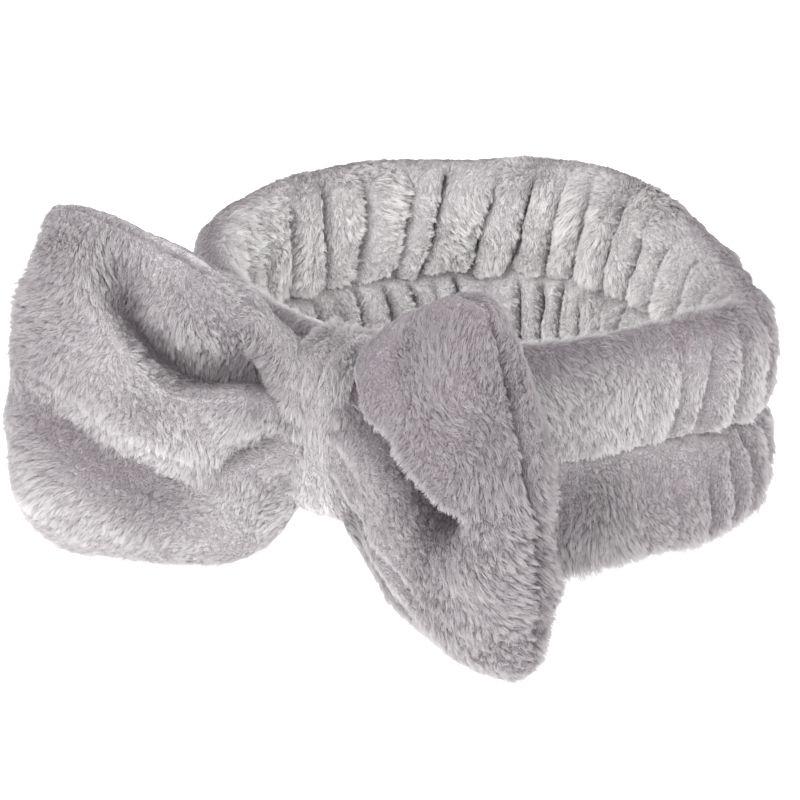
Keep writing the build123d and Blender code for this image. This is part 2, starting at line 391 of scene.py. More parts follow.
def nap_relief(points):
    """The tufts of the pile that show in the surface itself, in millimetres."""
    tuft, clump = np.array([2.3, 2.3, 3.6]), 7.0
    return 0.42 * noise_at(points, tuft, 1) + 0.5 * noise_at(points, clump, 2)


def seam_line(angles, side):
    """The centre seam's thread in the crease, side 1 outside and -1 inside."""
    _, centre, _ = band_levels(angles)
    return around(angles, oval(angles) + side * WALL / 2 * (SEAM_DEPTH + 0.03), centre)


def closing_line(angles):
    """The tube's closing seam on its lower inner edge."""
    low, _, _ = band_levels(angles)
    return around(angles, oval(angles) - WALL * 0.36, low + 1.5)


def seam_stitches(name, start, stop, closing=False):
    """The thread of the centre seam, inside and outside, or of the closing seam."""
    angles = np.linspace(start, stop, 300)
    outwards = around(angles, 1, 0)
    rows = []
    for side in (-1,) if closing else (1, -1):
        path = closing_line(angles) if closing else seam_line(angles, side)
        rows.append(stitch_row(path, 3.4, 2.6, 0.3, side * outwards))
    return make_mesh(name, *joined(rows))


def wadding(name, tier):
    """The soft fill of one tier of the smooth front, a little smaller than its tube."""
    rows, columns = 120, 28
    angles = np.linspace(180 - SPLIT + 4, 360 + SPLIT - 4, rows)
    low, centre, high = band_levels(angles)
    bottom, top = (centre, high) if tier else (low, centre)
    turn = full_turn(columns)
    across_wall, upright = squared_off(np.cos(turn), 0.75), squared_off(np.sin(turn), 0.75)
    out = oval(angles)[:, None] + (WALL / 2 - 3.6) * (1 - 0.22 * pinched(angles)[:, None]) * across_wall
    z = ((bottom + top) / 2)[:, None] + ((top - bottom) / 2 - 3.8)[:, None] * upright
    grid = around(angles[:, None], out, z)
    grid = grid + grid_normals(grid, wrap_columns=True) * (0.4 * noise_at(grid, 5.0, 4))[..., None]
    return make_mesh(name, grid, tube_faces(rows, columns, first_forwards=True))


def elastic(name, tier):
    """The woven elastic in one tier of the rear, slightly rippled where the fleece gathers on it."""
    rows, columns = 400, 44
    angles = np.linspace(SPLIT + 1, 179 - SPLIT, rows)
    low, centre, high = band_levels(angles)
    middle = (centre + high) / 2 if tier else (low + centre) / 2
    strip = np.array([[-0.6, -10], [-0.6, 10], [0.6, 10], [0.6, -10]])
    strip = resample(np.concatenate([strip, strip[:1]]), columns + 1)[:-1]
    ripple = 0.5 * np.sin(np.radians(angles) * 37 + tier)
    out = oval(angles)[:, None] + ripple[:, None] + strip[None, :, 0]
    grid = around(angles[:, None], out, middle[:, None] + strip[None, :, 1])
    return make_mesh(name, grid, tube_faces(rows, columns))


def elastic_tacks(name, angle):
    """The stitches through the fleece that pin both elastics' ends on one side."""
    low, centre, high = band_levels(np.array([angle]))
    parts = []
    for middle in ((low + centre) / 2, (centre + high) / 2):
        for k in range(-2, 3):
            out = oval(np.array([angle]))[0] + np.linspace(-1, 1, 9) * (WALL / 2 + 0.2)
            parts.append(tube(around(np.full(9, angle), out, middle + 4.0 * k), 0.35))
    return make_mesh(name, *joined(parts))


# The wings of the bow, each in its own terms: s outwards from the hinge line, h up from the knot, n forwards

KNOT_Z = (KNOT_LOW + KNOT_HIGH) / 2
WING_ROWS = 120
WING_COLUMNS = 140
FINE = 700  # points across a row while its folds are formed


class Wing:
    """Where a wing is, and the outline, thickness and folds of its two layers."""

    def __init__(self, side, swing):
        self.side = side
        self.name = "right" if side == 1 else "left"
        self.hinge = np.array(JOINTS[f"{self.name}_wing_flop"]["pos_m"]) / MM
        a = math.radians(swing)
        self.out = np.array([side * math.cos(a), -math.sin(a), 0])
        self.forward = np.array([-side * math.sin(a), -math.cos(a), 0])

    def place(self, s, h, n):
        """Points in the frame, from s, h and n."""
        flat = s[..., None] * self.out + n[..., None] * self.forward
        return self.hinge + flat + h[..., None] * np.array([0, 0, 1])

    def fold(self, s, h, n, line, amount, overlap):
        """An overlapping fold: past the line the cloth sinks into a pocket, and a lip stands over it.

        line(s) is the fold's height, amount(s) its strength, and overlap is 1 with the lip below, else -1.
        """
        slope = line(s + 0.5) - line(s - 0.5)
        norm = np.sqrt(1 + slope**2)
        past = (h - line(s)) / norm * overlap
        step = smooth(past, -1.5, 1.5)
        pocket = np.exp(-(np.abs(past / self.pocket_reach(s)) ** self.pocket_edge)) * step * amount(s)
        lip = hill(past, 0, self.lip_reach) * (1 - step) * amount(s) * smooth(s, *self.lip_start)
        n = n - self.pocket_depth * pocket + self.lip_rise * lip
        h = h + overlap * self.lip_overhang * lip / norm
        s = s - overlap * self.lip_overhang * lip * slope / norm
        return s, h, n


def between(start, full, fading, gone):
    """An amount along s: 0 before start, 1 from full to fading, and 0 again after gone."""
    return lambda s: smooth(s, start, full) * (1 - smooth(s, fading, gone))


def valley(s, h, n, line, amount, width, depth):
    """A soft valley or crease along a line."""
    slope = line(s + 0.5) - line(s - 0.5)
    away = (h - line(s)) / np.sqrt(1 + slope**2)
    return n - depth * amount(s) * hill(away, 0, width)


class LeftWing(Wing):
    """The left wing: a deep pocket above a rolled lip, and a broad shallow valley below it."""

    pocket_edge, lip_reach, lip_start = 2, 13.0, (-20, -10)
    pocket_depth, lip_rise, lip_overhang = 19.0, 5.0, 7.0

    def __init__(self):
        super().__init__(-1, 14.0)

    def root(self, b):
        return 15.5 + 0 * b

    def full_from(self, b):
        return 0.34 + 0 * b

    def end(self, b):
        return 80 - 16.5 * np.maximum(0.2 + 0.79 * b, 0) ** 1.8 - 15 * np.maximum(-1.3 - 2.3 * b, 0) ** 2

    def half_height(self, a, up):
        top = 21 + 38 * (1 - (1 - a) ** 2.2) + 2 * a**8
        bottom = 20 + 32.5 * (1 - (1 - a) ** 6.5)
        return np.where(up, top, bottom)

    def seam_shift(self, a, b):
        return 3.0 * smooth(b, 0.3, 1) * (1 - smooth(a, 0.5, 1))

    def pocket_reach(self, s):
        return 20 + 0 * s

    def low_line(self, s):
        return -23 + 24 * smooth(s, 18, 80) + 11 * (1 - smooth(s, -6, 16))

    def main_line(self, s):
        return 7.5 + 34 * np.clip((s - 12) / 34, 0, 1.3) ** 2.6

    def painted_light_shade(self, s, h):
        """Painted light and shade on the nap: paler low down, darker towards the outer corner."""
        low = smooth(-h, 8, 34)
        # Painted highlight along the ridge above the low valley, and painted shade in the valley.
        ridge = 0.3 * hill(h - self.low_line(s), 9, 5) - 0.2 * hill(h - self.low_line(s), -3, 7)
        ridge = ridge * smooth(s, 8, 28) * (1 - smooth(s, 60, 76))
        outer = 0.4 * smooth(s, 40, 72) * (1 - low) + 0.6 * smooth(-h, 32, 48)
        return ridge + 0.2 * low - outer

    def shape_front(self, s, h, n):
        s, h, n = self.fold(s, h, n, self.main_line, between(-14, 4, 34, 50), 1)
        n = valley(s, h, n, self.low_line, between(2, 25, 48, 76), 9.5, 7.0)
        for above in (5, 9.5, 14, -12, -17):
            n = valley(s, h, n, lambda s: self.low_line(s) * (1 if above > 0 else 0.7) + above,
                       between(8, 30, 56, 76), 1.7, 2.2)
        n = valley(s, h, n, lambda s: -6 - 0.7 * s, lambda s: hill(s, -1, 9), 3.0, 6.0)
        away = s + 4 - 5 * (h - 9) / 13
        return s, h, n - 5.0 * hill(away, 0, 2.6) * hill(h, 17, 8)


class RightWing(Wing):
    """The right wing: a plump upper lobe hangs over a crease, and the cloth below runs down to the corner."""

    pocket_edge, lip_reach, lip_start = 5, 17.0, (4, 22)
    pocket_depth, lip_rise, lip_overhang = 19.0, 4.0, 6.0

    def __init__(self):
        super().__init__(1, 20.0)

    def root(self, b):
        return 16 - 4 * smooth(b, -0.2, 0.5) * (1 - smooth(b, 0.55, 0.8))

    def full_from(self, b):
        return 0.52 - 0.24 * smooth(b, 0.4, 0.7)

    def end(self, b):
        return 66.5 - 19 * np.maximum(b, 0) ** 1.5 - 2.5 * smooth(-b, 0.2, 0.8) - 6 * np.maximum(-b, 0) ** 7

    def half_height(self, a, up):
        top = 19 + 42.5 * (1 - (1 - a) ** 1.75)
        bottom = 28 + 27.5 * (1 - (1 - a) ** 2.8)
        return np.where(up, top, bottom)

    def seam_shift(self, a, b):
        return 5.0 * smooth(a, 0.6, 1) * smooth(b, -0.9, 0.2)

    def pocket_reach(self, s):
        return 19.5 - 8 * smooth(s, 26, 50)

    def main_line(self, s):
        return 27.5 - 0.5 * s + 11 * hill(s, 29, 13) + 0.024 * np.maximum(s - 44, 0) ** 2

    def painted_light_shade(self, s, h):
        """Painted light and shade on the nap: darkest on the upper lobe, paler near the knot low down."""
        near_knot = (1 - smooth(s + 0.4 * h, 5, 35)) * (1 - smooth(h, 2, 16))
        return -0.5 - 0.15 * smooth(h, -10, 25) + 0.35 * near_knot

    def shape_front(self, s, h, n):
        s, h, n = self.fold(s, h, n, self.main_line, between(-17, -3, 36, 58), -1)
        for start, slope in ((-20, -0.35), (-27, -0.55), (-33, -0.75)):
            n = valley(s, h, n, lambda s: start + slope * s, lambda s: 1 - smooth(s, 20, 48), 2.2, 3.4)
        return s, h, n


def wing_rows():
    """How far out each row of a wing is, from 0 at the root to 1 at the end, closer together at the end."""
    return 1 - (1 - np.linspace(0, 1, WING_ROWS)) ** 1.6


def eased(line):
    """A row of FINE points with its sharp turns softened and its ends kept."""
    kernel = np.exp(-(np.linspace(-2.5, 2.5, 21) ** 2))
    kernel /= kernel.sum()
    padded = np.pad(line, ((10, 10), (0, 0)), mode="edge")
    soft = np.stack([np.convolve(column, kernel, "valid") for column in padded.T], -1)
    keep = smooth(np.minimum(np.arange(FINE), np.arange(FINE)[::-1]), 0, 12)[:, None]
    return line + (soft - line) * keep


def wing_layer(wing, front):
    """One layer's points and how deep each is sunk, in rows from the top seam to the bottom seam."""
    b = np.sin(np.linspace(math.pi / 2, -math.pi / 2, FINE))
    rows = []
    for a in wing_rows():
        inward = wing.root(b)
        s = (wing.end(b) + inward) * a - inward
        h = b * wing.half_height(a, b > 0)
        plump = (10.5 + (9.5 if front else 6.5) * smooth(a / wing.full_from(b), 0, 1)) * (1 - a**7) ** 0.5
        swell = plump * (1 - np.abs(b) ** 3.6) ** 0.5
        shift = wing.seam_shift(a, b)
        tight = np.exp(-(s + inward) / 15)
        spread = np.arctan2(h, s + inward + 12)
        gathers = 1.8 * tight * np.sin(9 * spread * (1.3 if front else 1.7) + 1.0)
        inside = (1 - np.abs(b) ** 6) * (1 - a**10)
        if front:
            n = swell + gathers * inside
            s, h, moved = wing.shape_front(s, h, n)
            n = n + (moved - n) * inside + shift
        else:
            n = -swell + gathers * inside + shift
            swell = -swell
        deep = np.clip((swell - n + shift) / 12, 0, 1)
        rows.append(resample(eased(resample(np.stack([s, h, n, deep], -1), FINE)), WING_COLUMNS))
    grid = np.array(rows)
    for _ in range(3):
        middle = (grid[:-2] + grid[2:]) / 2
        grid[1:-1, 1:-1] += 0.5 * (middle - grid[1:-1])[:, 1:-1]
    return grid


def pillow_faces():
    """Faces of a wing's two layers, which share the points of their edge, and of its flat root."""
    faces = grid_faces(WING_ROWS, WING_COLUMNS)
    front = np.arange(WING_ROWS * WING_COLUMNS).reshape(WING_ROWS, WING_COLUMNS)
    back = front + front.size
    back[:, 0], back[:, -1], back[-1] = front[:, 0], front[:, -1], front[-1]
    for i in range(WING_ROWS - 1):
        for j in range(WING_COLUMNS - 1):
            faces.append((back[i, j], back[i, j + 1], back[i + 1, j + 1], back[i + 1, j]))
    faces.append((*front[0], *back[0, -2:0:-1]))
    return [tuple(int(k) for k in face) for face in faces]


def wing_fleece(wing):
    """The wing's two layers as one closed pillow, with the seam sunk between them."""
    layers = []
    for front in (True, False):
        local, deep = np.split(wing_layer(wing, front), [3], axis=-1)
        rim = local - [25, 0, 0]
        rim[..., 2] = 0
        columns, rows = np.arange(WING_COLUMNS), wing_rows()[:, None]
        to_edge = np.minimum(columns, columns[::-1])[None, :]
        to_end = (WING_ROWS - 1 - np.arange(WING_ROWS))[:, None] * 0.8
        sunk = 3.4 * hill(np.minimum(to_edge, to_end), 0, 2.2) * smooth(rows, 0.1, 0.3)
        local = local - unit(rim) * sunk[..., None]
        grid = wing.place(local[..., 0], local[..., 1], local[..., 2])
        normal = grid_normals(grid) * (-wing.side if front else wing.side)
        inner = smooth(to_edge, 0, 3) * smooth(to_end, 0, 3)
        relief = nap_relief(grid) + 0.9 * noise_at(grid, 19.0, 5)
        grid = grid + normal * (relief * inner)[..., None]
        grid[..., 2] = np.maximum(grid[..., 2], BAND_LOW + 0.3)
        # Painted shade: darker along the sunk seam round the edge, and on the front layer in the deep pockets
        # of the folds.
        edge = 0.6 * (1 - smooth(np.minimum(to_edge, to_end), 0, 3)) * smooth(rows, 0.1, 0.3)
        shade = wing.painted_light_shade(local[..., 0], local[..., 1]) - edge
        layers.append((grid, inner, shade - (1.1 * deep[..., 0] if front else 0)))
    (front, inner, shade), (back, _, plain) = layers
    back[:, 0], back[:, -1], back[-1] = front[:, 0], front[:, -1], front[-1]
    points = np.concatenate([front.reshape(-1, 3), back.reshape(-1, 3)])
    low = (1 - smooth(points[:, 2:], KNOT_Z - 30, KNOT_Z + 10)) * 0.6
    nap = unit(wing.out * (0.35 + low) + np.array([0, 0, -1.0]) * (0.9 - low))
    pile = np.tile(0.4 + 0.6 * inner.ravel(), 2)
    paler = np.concatenate([shade.ravel(), plain.ravel()])
    return make_mesh(f"{wing.name}_wing_fleece", points, pillow_faces(), nap, pile, paler), front


def wing_stitches(wing, front):
    """The thread in the seam round the wing's edge, from the top at the knot round to the bottom."""
    edge = np.concatenate([front[20:, 0], front[-1, 1:], front[20:-1, -1][::-1]])
    lift = unit(edge - (wing.hinge + 30 * wing.out))
    return make_mesh(f"{wing.name}_wing_stitches", *stitch_row(edge, 3.2, 2.5, 0.28, lift))


# The knot: the gathered waist of the bow and the wrap round it

SUNK = 7.0  # how far the wrap's face sits back between the wings


def rounded_loop(low, high, radius, count):
    """A closed rounded rectangle in (y, z), anticlockwise, from its lowest and highest corners."""
    corners = [(high[0] - radius, low[1] + radius, -90), (high[0] - radius, high[1] - radius, 0),
               (low[0] + radius, high[1] - radius, 90), (low[0] + radius, low[1] + radius, 180)]
    points = []
    for y, z, start in corners:
        for turn in np.radians(np.linspace(start, start + 90, 24)):
            points.append((y + radius * math.cos(turn), z + radius * math.sin(turn)))
    points.append(points[0])
    return resample(np.array(points), count + 1)[:-1]


def knot_wrap():
    """The fleece strip round the waist and the band, gathered lengthwise, as a closed ring."""
    low, high = corners("knot_wrap")
    low, high = low + [0, SUNK + NAP, -1], high - [NAP, NAP, NAP + 2.5]
    width = high[0] - low[0] - NAP
    thick = 4.2
    rows, columns = 260, 72
    middle = rounded_loop(low[1:] + thick / 2, high[1:] - thick / 2, 8.0, rows)
    tangent = unit(np.roll(middle, -1, 0) - np.roll(middle, 1, 0))
    outward = np.stack([tangent[:, 1], -tangent[:, 0]], -1)
    turn = full_turn(columns)
    x = squared_off(np.cos(turn), 0.6) * width / 2
    off = squared_off(np.sin(turn), 0.7) * thick / 2
    at_front = smooth(-middle[:, 0], -low[1] - 16, -low[1])[:, None]
    squeeze = 1 - 0.16 * at_front
    folds = 0.9 * np.cos(2 * math.pi * (x / width * 3.2 + 0.2))[None] * (off > 0)
    folds = folds + 1.6 * np.cos(math.pi * x / width)[None] * (off > 0) * at_front
    grid = np.empty((rows, columns, 3))
    grid[..., 0] = x * squeeze
    grid[..., 1:] = middle[:, None] + outward[:, None] * (off + folds)[..., None]
    normal = grid_normals(grid, wrap_rows=True, wrap_columns=True)
    if np.mean(np.sum(normal[:, columns // 4, 1:] * outward, -1)) < 0:
        normal = -normal
    grid = grid + normal * (nap_relief(grid) * 0.8)[..., None]
    faces = grid_faces(rows, columns, wrap_columns=True)
    closing = grid_faces(2, columns, wrap_columns=True, start=(rows - 1) * columns)
    faces += [tuple(k % (rows * columns) for k in face) for face in closing]
    along = np.zeros_like(grid)
    along[..., 1:] = np.where(tangent[:, 1:] > 0, -tangent, tangent)[:, None]
    # Painted light: the front of the wrap paler, low down.
    paler = 0.45 * at_front * (1 - smooth(middle[:, 1:], 40, 72)) + 0 * off
    return make_mesh("knot_wrap_fleece", grid, faces, along, np.full((rows, columns), 0.8), paler)


def bow_waist():
    """The gathered middle of the bow, ribbed lengthwise by its folds."""
    low, high = corners("bow_waist")
    low = low + [0, SUNK, 0]
    centre, half = (low + high) / 2, (high - low) / 2 - 0.6 - NAP
    rows, columns, ribs = 24, 120, 11
    turn = full_turn(columns)
    x = np.linspace(low[0], high[0], rows)[:, None]
    rib = 1 - 0.07 * (1 + np.cos(turn * ribs)) / 2
    y = centre[1] + half[1] * squared_off(np.cos(turn), 0.6) * rib
    z = centre[2] + half[2] * squared_off(np.sin(turn), 0.8) * rib
    grid = np.stack(np.broadcast_arrays(x, y[None], z[None]), -1)
    return make_mesh("bow_waist_fleece", grid, tube_faces(rows, columns))


def waist_thread():
    """Five turns of gathering thread round the waist."""
    low, high = corners("waist_thread")
    low, high = low + [0, SUNK + NAP, NAP], high - NAP
    turns, steps, thick = 5, 90, 0.3
    loop = rounded_loop(low[1:] + thick, high[1:] - thick, 6.0, steps)
    path = [(low[0] + 0.4 + 3.2 * (k / (turns * steps)), *loop[k % steps]) for k in range(turns * steps)]
    return make_mesh("waist_winding", *tube(path, thick))


def knot_stitches():
    """The slanted hand stitches that close the wrap on its face inside the band."""
    low, high = corners("knot_closing_stitches")
    back = corners("knot_wrap")[1][1] + 0.5
    parts = []
    for z in np.arange(low[2] + 1, high[2], 4.4):
        t = np.linspace(-1, 1, 9)
        line = np.stack([2.4 * t, back + 0.5 * (1 - t**2), z + 1.2 * t], -1)
        parts.append(tube(line, 0.35))
    return make_mesh("knot_hand_stitches", *joined(parts))


# Node graphs


class Graph:
    """Adds nodes to a node tree; an input is given as a value or as another node's output."""

    def __init__(self, tree):
        self.tree = tree

    def add(self, kind, inputs=None, **settings):
        node = self.tree.nodes.new(kind)
        for key, value in settings.items():
            setattr(node, key, value)
        for key, value in (inputs or {}).items():
            if isinstance(value, bpy.types.NodeSocket):
                self.tree.links.new(value, node.inputs[key])
            else:
                node.inputs[key].default_value = value
        return node

    def math(self, operation, *values):
        return self.add("ShaderNodeMath", dict(enumerate(values)), operation=operation).outputs[0]

    def plus(self, a, b):
        return self.math("ADD", a, b)

    def times(self, a, b):
        return self.math("MULTIPLY", a, b)

    def vector(self, operation, *values):
        return self.add("ShaderNodeVectorMath", dict(enumerate(values)), operation=operation).outputs[0]

    def total(self, first, *others):
        """The sum of vectors."""
        for other in others:
            first = self.vector("ADD", first, other)
        return first

    def scaled(self, vector, factor):
        return self.add("ShaderNodeVectorMath", {0: vector, "Scale": factor}, operation="SCALE").outputs[0]

    def upward(self, vector):
        """A vector's Z."""
        return self.add("ShaderNodeSeparateXYZ", {0: vector}).outputs[2]

    def surface(self, shader):
        self.add("ShaderNodeOutputMaterial", {0: shader})

    def attribute(self, name):
        return self.add("ShaderNodeAttribute", attribute_name=name).outputs["Fac"]

    def geometry(self, kind, inputs=None, **settings):
        """A geometry node's first output."""
        return self.add("GeometryNode" + kind, inputs, **settings).outputs[0]

    def named(self, name, kind="FLOAT"):
        return self.geometry("InputNamedAttribute", {"Name": name}, data_type=kind)

    def place(self):
        """Where a point is on its own piece."""
        return self.add("ShaderNodeTexCoord").outputs["Object"]

    def texture(self, kind, where, scale, settings=None, **inputs):
        """A noise or wave texture's level."""
        values = {"Vector": where, "Scale": scale, **inputs}
        return self.add(f"ShaderNodeTex{kind}", values, **(settings or {})).outputs["Fac"]

    def ramp(self, factor, stops):
        node = self.add("ShaderNodeValToRGB", {"Fac": factor})
        elements = node.color_ramp.elements
        for k, (at, colour) in enumerate(stops):
            element = elements[k] if k < 2 else elements.new(at)
            element.position, element.color = at, (*colour, 1)
        return node.outputs["Color"]

    def mix(self, factor, a, b, blend="MIX"):
        node = self.add("ShaderNodeMix", data_type="RGBA", blend_type=blend)
        for key, value in ((0, factor), (6, a), (7, b)):
            if isinstance(value, bpy.types.NodeSocket):
                self.tree.links.new(value, node.inputs[key])
            else:
                node.inputs[key].default_value = value if key == 0 else (*value, 1)
        return node.outputs[2]


def new_material(name):
    """An empty node material and its graph."""
    material = bpy.data.materials.new(name)
    material.use_nodes = True
    material.node_tree.nodes.clear()
    return material, Graph(material.node_tree)


def matt_surface(g, colour, height, bump, grain, rough, more=None):
    """Ends a graph: bump is the strength and depth of height, rough the range and the least of grain."""
    relief = g.add("ShaderNodeBump", {"Height": height, "Strength": bump[0], "Distance": bump[1]}).outputs[0]
    roughness = g.plus(g.times(grain, rough[0]), rough[1])
    values = {"Base Color": colour, "Roughness": roughness, "Normal": relief, **(more or {})}
    g.surface(g.add("ShaderNodeBsdfPrincipled", values).outputs[0])


# Colours, linear
CLOTH = ((0.25, 0.234, 0.243), (0.40, 0.378, 0.389), (0.50, 0.481, 0.488))
# painted shade: the pile is darker at its roots, deep between the tufts
PILE_ROOT = (0.30, 0.283, 0.291)
PILE_BODY = (0.57, 0.544, 0.553)
PILE_TIP = (0.64, 0.623, 0.624)
# painted light: the gain that pales the fleece where light is painted on, and darkens it at a negative
# paleness for painted shade
PAINTED_LIGHT_GAIN = (1.57, 1.62, 1.58)  # how much lighter and less mauve the fleece is at a paleness of 1


def paleness(g, facing, paler):
    """How pale the fleece is painted: painted light on faces that look down, with its paler attribute of
    painted light and shade.
    """
    under = g.times(g.math("MAXIMUM", g.times(facing, -1.0), 0.0), 0.6)
    level = g.plus(g.plus(0.2, under), g.times(paler, 0.8))
    return g.add("ShaderNodeClamp", {0: level, 1: -0.8, 2: 1.15}).outputs[0]


def lightened(g, colour, level):
    """A colour of the fleece at a level of paleness: lighter for painted light, darker for painted shade."""
    gain = g.scaled(tuple(c - 1 for c in PAINTED_LIGHT_GAIN), level)
    return g.vector("MULTIPLY", colour, g.vector("ADD", gain, (1.0, 1.0, 1.0)))


def fleece_cloth():
    """The fleece itself: tufts of plush in mauve grey, with a soft sheen and painted light and shade laid
    over it.
    """
    material, g = new_material("plush_fleece")
    where = g.place()
    streaks = g.add("ShaderNodeMapping", {"Vector": where, "Scale": (1.0, 1.0, 0.35)}).outputs[0]
    tufts = g.texture("Noise", where, 420.0, Detail=3.0, Roughness=0.6)
    fibre = g.texture("Noise", streaks, 1500.0, Detail=2.0)
    broad = g.texture("Noise", where, 45.0, Detail=2.0)
    level = g.plus(g.times(tufts, 0.6), g.times(fibre, 0.4))
    colour = g.ramp(level, list(zip((0.32, 0.5, 0.68), CLOTH)))
    tint = g.ramp(broad, [(0.35, (0.93, 0.9, 0.94)), (0.65, (1.0, 1.0, 1.0))])
    # Painted light and shade: paler where the cloth faces down and where its paler attribute says.
    facing = g.upward(g.add("ShaderNodeNewGeometry").outputs["Normal"])
    paler = paleness(g, facing, g.attribute("paler"))
    colour = lightened(g, g.mix(1.0, colour, tint, "MULTIPLY"), paler)
    sheen = {"Sheen Weight": 0.5, "Sheen Roughness": 0.45, "Specular IOR Level": 0.2}
    matt_surface(g, colour, level, (0.6, 0.0009), fibre, (0.2, 0.75), sheen)
    return material


def pile_fibre():
    """A strand of pile: dark at its root as painted shade, pale at its tip, a little see-through, shaded tuft
    by tuft, with painted light and shade laid over it.
    """
    material, g = new_material("plush_pile")
    along = g.add("ShaderNodeHairInfo").outputs["Intercept"]
    colour = g.ramp(along, [(0.0, PILE_ROOT), (0.45, PILE_BODY), (1.0, PILE_TIP)])
    shade = g.ramp(g.attribute("tuft_shade"), [(0.0, (0.76, 0.74, 0.765)), (1.0, (1.0, 1.0, 1.0))])
    # painted light and shade carried from the cloth by each strand
    colour = lightened(g, g.mix(1.0, colour, shade, "MULTIPLY"), g.attribute("light_side"))
    diffuse = g.add("ShaderNodeBsdfDiffuse", {"Color": colour}).outputs[0]
    through = g.add("ShaderNodeBsdfTranslucent", {"Color": colour}).outputs[0]
    soft = g.add("ShaderNodeMixShader", {0: 0.35, 1: diffuse, 2: through}).outputs[0]
    shine = g.add("ShaderNodeBsdfAnisotropic", {"Color": (0.9, 0.88, 0.92, 1), "Roughness": 0.5}).outputs[0]
    g.surface(g.add("ShaderNodeMixShader", {0: 0.03, 1: soft, 2: shine}).outputs[0])
    return material


def sewing_thread():
    """Twisted spun thread."""
    material, g = new_material("sewing_thread")
    where = g.place()
    twist = g.texture("Wave", where, 900.0, {"bands_direction": "DIAGONAL"}, Distortion=2.0)
    fuzz = g.texture("Noise", where, 2500.0)
    level = g.plus(g.times(twist, 0.6), g.times(fuzz, 0.4))
    colour = g.ramp(level, [(0.2, (0.30, 0.28, 0.31)), (0.8, (0.52, 0.49, 0.53))])
    matt_surface(g, colour, level, (0.5, 0.0002), level, (0.2, 0.55), {"Sheen Weight": 0.3})
    return material


def woven_elastic():
    """White elastic tape: ribs of covered rubber crossed by fine threads."""
    material, g = new_material("woven_elastic")
    where = g.place()
    ribs = g.texture("Wave", where, 260.0, {"bands_direction": "Z"})
    cross = g.texture("Wave", where, 330.0, {"bands_direction": "X"}, Distortion=1.0)
    level = g.times(g.plus(ribs, cross), 0.5)
    colour = g.ramp(level, [(0.1, (0.62, 0.61, 0.6)), (0.7, (0.84, 0.83, 0.82))])
    matt_surface(g, colour, level, (0.6, 0.0003), level, (0.2, 0.6))
    return material


def loose_wadding():
    """Loose white polyester fibre."""
    material, g = new_material("loose_wadding")
    fibre = g.texture("Noise", g.place(), 600.0, Detail=6.0, Distortion=3.0)
    colour = g.ramp(fibre, [(0.3, (0.74, 0.74, 0.73)), (0.7, (0.9, 0.9, 0.89))])
    matt_surface(g, colour, fibre, (0.8, 0.001), fibre, (0.1, 0.85), {"Sheen Weight": 0.4})
    return material


# The pile: short strands that stand on the fleece, gathered into tufts and combed by noise

PILE_LENGTH = 2.8 * MM
PILE_PER_MM2 = 8.0
TUFTS_PER_MM2 = 0.75
STRAND_RADIUS = 0.08 * MM
STRAND_POINTS = 5
MM2 = 1e6  # square millimetres in a square metre


def strand_roots(g, cloth):
    """Points on the cloth, one for each strand, that hold its tuft, lean, length, tuft shade and painted
    light and shade.
    """
    def sown(density, seed):
        inputs = {"Mesh": cloth, "Density": density * MM2, "Seed": seed}
        return g.add("GeometryNodeDistributePointsOnFaces", inputs).outputs

    roots, tufts = sown(PILE_PER_MM2, SEED), sown(TUFTS_PER_MM2, SEED + 1)[0]
    place = g.geometry("InputPosition")
    nearest = g.geometry("SampleNearest", {"Geometry": tufts, "Sample Position": place}, domain="POINT")
    tuft = g.geometry("SampleIndex", {"Geometry": tufts, "Value": place, "Index": nearest},
                      data_type="FLOAT_VECTOR", domain="POINT")
    own = g.add("ShaderNodeTexWhiteNoise", {"Vector": g.scaled(tuft, 911.0)}, noise_dimensions="3D").outputs
    single = g.add("FunctionNodeRandomValue", {"Seed": SEED + 2}, data_type="FLOAT_VECTOR")
    single.inputs[0].default_value, single.inputs[1].default_value = (-1, -1, -1), (1, 1, 1)

    def swerve(colour, amount):
        return g.scaled(g.vector("SUBTRACT", colour, (0.5, 0.5, 0.5)), amount)

    def swirl(size):
        return g.add("ShaderNodeTexNoise", {"Vector": place, "Scale": size, "Detail": 1.0}).outputs["Color"]

    combed = g.total(swerve(swirl(38.0), 3.0), swerve(swirl(150.0), 0.7))
    tousled = g.total(swerve(own["Color"], 0.5), g.scaled(single.outputs[0], 0.22))
    lean = g.total(g.total(g.scaled(g.named("nap", "FLOAT_VECTOR"), 0.7), combed), tousled)
    tall = g.times(g.named("pile"), g.plus(0.72, g.times(own["Value"], 0.5)))
    # painted light and shade for the strand, from how its root faces and the cloth's paler attribute
    light = paleness(g, g.upward(roots["Normal"]), g.named("paler"))
    points = roots["Points"]
    to_tuft = g.vector("SUBTRACT", tuft, place)
    vectors = {"root": place, "up": roots["Normal"], "to_tuft": to_tuft, "lean": lean}
    numbers = {"tall": tall, "tuft_shade": own["Value"], "light_side": light}
    for kind, values in (("FLOAT_VECTOR", vectors), ("FLOAT", numbers)):
        for name, value in values.items():
            stored = {"Geometry": points, "Name": name, "Value": value}
            points = g.geometry("StoreNamedAttribute", stored, data_type=kind, domain="POINT")
    return points


